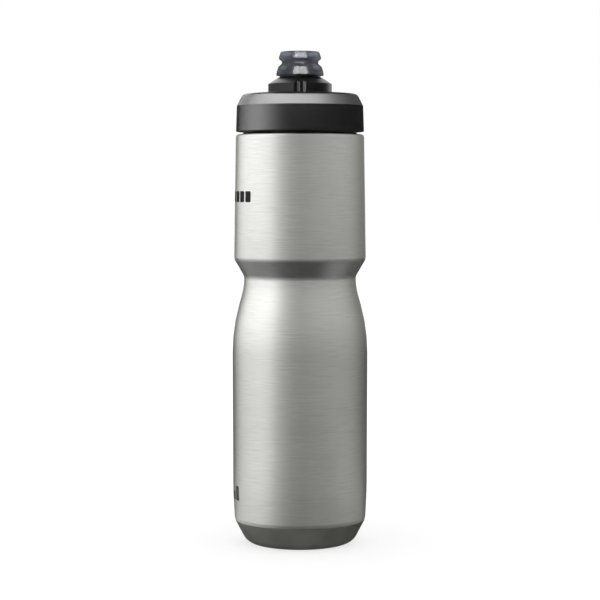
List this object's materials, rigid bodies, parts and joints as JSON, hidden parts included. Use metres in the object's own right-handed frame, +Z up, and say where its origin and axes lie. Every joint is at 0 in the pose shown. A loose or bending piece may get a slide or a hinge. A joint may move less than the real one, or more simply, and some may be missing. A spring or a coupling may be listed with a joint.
{
  "type": "water bottle",
  "caption": "Insulated steel cycling bottle with a waist for the cage, a screw cap and a twist-lock drinking nozzle with a soft mouthpiece.",
  "frame": {"origin": "on the ground, at the centre of the base", "axes": "+Z up the bottle's axis; the front pair of nozzle flutes faces -Y"},
  "size_m": [0.074, 0.074, 0.2688],
  "materials": {
    "outer_shell": "brushed round the axis, satin sheen",
    "outer_bottom": "plain pressed",
    "vacuum_seal": "fused bead",
    "inner_vessel": "electropolished inside",
    "inner_bottom": "electropolished inside",
    "getter_pellet": "porous sintered metal",
    "getter_clip": "plain strip",
    "base_pad": "matte silicone",
    "cap": "satin moulded polypropylene",
    "cap_gasket": "soft silicone",
    "nozzle_seal": "soft silicone",
    "lock_nozzle": "satin moulded polypropylene",
    "mouthpiece": "glossy translucent silicone"
  },
  "bodies": {
    "bottle": {"outer_shell": "outer_shell", "outer_bottom": "outer_bottom", "vacuum_seal": "vacuum_seal", "inner_vessel": "inner_vessel", "inner_bottom": "inner_bottom", "getter_pellet": "getter_pellet", "getter_clip": "getter_clip", "base_pad": "base_pad"},
    "cap_seal": {"cap_gasket": "cap_gasket"},
    "cap": {"cap": "cap"},
    "nozzle_seal": {"nozzle_seal": "nozzle_seal"},
    "nozzle": {"lock_nozzle": "lock_nozzle"},
    "valve": {"mouthpiece": "mouthpiece"}
  },
  "joints": [
    {"name": "cap_rise", "type": "slide", "parent": "bottle", "child": "cap_seal", "axis": [0, 0, 1], "range_m": [0, 0.0151]},
    {"name": "cap_turn", "type": "hinge", "parent": "cap_seal", "child": "cap", "pos_m": [0, 0, 0.2355], "axis": [0, 0, 1], "range_deg": [0, 1080]},
    {"name": "lockout_rise", "type": "slide", "parent": "cap", "child": "nozzle_seal", "axis": [0, 0, 1], "range_m": [0, 0.00252]},
    {"name": "lockout_turn", "type": "hinge", "parent": "nozzle_seal", "child": "nozzle", "pos_m": [0, 0, 0.2515], "axis": [0, 0, 1], "range_deg": [0, 90]},
    {"name": "valve_pull", "type": "slide", "parent": "nozzle", "child": "valve", "axis": [0, 0, 1], "range_m": [0, 0.016]}
  ],
  "couplings": [
    {"joint": "cap_rise", "follows": "cap_turn", "m_per_rad": 0.00079577},
    {"joint": "lockout_rise", "follows": "lockout_turn", "m_per_rad": 0.0015915}
  ]
}
